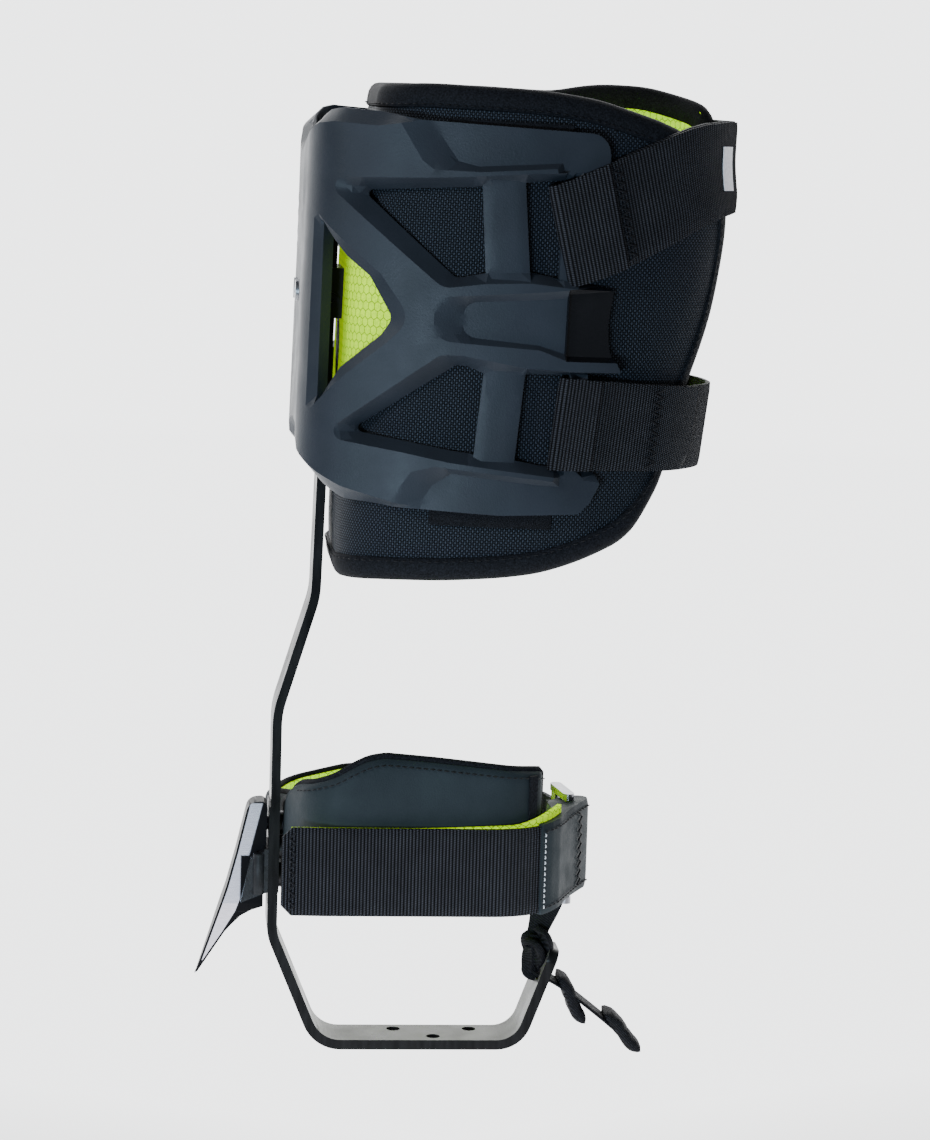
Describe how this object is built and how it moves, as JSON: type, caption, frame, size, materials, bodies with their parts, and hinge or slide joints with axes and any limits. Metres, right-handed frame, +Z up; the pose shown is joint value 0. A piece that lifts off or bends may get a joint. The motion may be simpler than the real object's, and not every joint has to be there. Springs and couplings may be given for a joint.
{
  "type": "tree climbing spur",
  "caption": "Climbing spur for one leg: stirrup, jogged shank, steel gaff, moulded calf cuff that slides on the shank, padded calf and ankle straps, and a hanging tether.",
  "frame": {"origin": "centre of the tread's top face, where the boot rests", "axes": "+Z up along the leg, +X towards the outside of the leg (away from the gaff), Y along the foot"},
  "size_m": [0.2356, 0.14, 0.4392],
  "materials": {
    "anodised_black": "black hard-anodised, satin",
    "gaff_steel": "ground and polished flats, blackened edges",
    "holder_black": "black cast, semi-matt",
    "fastener_black": "black oxide",
    "fastener_steel": "zinc plated",
    "shell_plastic": "fine moulded texture, dark blue-grey",
    "slider_plastic": "smooth black",
    "pad_fabric": "coarse black plain-weave nylon with bound edges",
    "mesh_green": "yellow-green hexagon spacer mesh",
    "hook_tape": "hook-and-loop tape",
    "webbing_black": "ribbed black webbing",
    "leather_grey": "grey synthetic leather, fine grain",
    "ring_steel": "polished steel bars",
    "tether_black": "twill-woven tape"
  },
  "bodies": {
    "irons": {"stirrup": "anodised_black", "shank": "anodised_black", "gaff": "gaff_steel", "gaff_holder": "holder_black", "gaff_bolts": "fastener_black", "ankle_pad": "leather_grey", "ankle_pad_lining": "mesh_green", "ankle_pad_screws": "fastener_black", "ankle_strap": "webbing_black", "ankle_strap_tab": "leather_grey", "ring_loop": "webbing_black", "tether_web": "tether_black", "tether_knot": "tether_black", "tether_tail": "tether_black", "tether_stop_upper": "tether_black", "tether_stop_lower": "tether_black"},
    "cuff": {"cuff_shell": "shell_plastic", "cuff_slider": "slider_plastic", "slider_screws": "fastener_steel", "calf_pad": "pad_fabric", "calf_pad_lining": "mesh_green", "pad_hook_patches": "hook_tape", "upper_strap": "webbing_black", "lower_strap": "webbing_black"},
    "clamp_screw": {"clamp_screw": "fastener_steel"},
    "ankle_ring": {"ankle_ring": "ring_steel"}
  },
  "joints": [
    {"name": "cuff_height", "type": "slide", "parent": "irons", "child": "cuff", "axis": [0.0262, 0, 0.9997], "range_m": [-0.04, 0.034]},
    {"name": "clamp_turn", "type": "hinge", "parent": "cuff", "child": "clamp_screw", "pos_m": [-0.04812, -0.015, 0.3365], "axis": [0, -1, 0], "range_deg": [0, 180]},
    {"name": "ring_swing", "type": "hinge", "parent": "irons", "child": "ankle_ring", "pos_m": [0.062, 0.012, 0.09], "axis": [0, 0, 1], "range_deg": [-11, 2.5]}
  ]
}
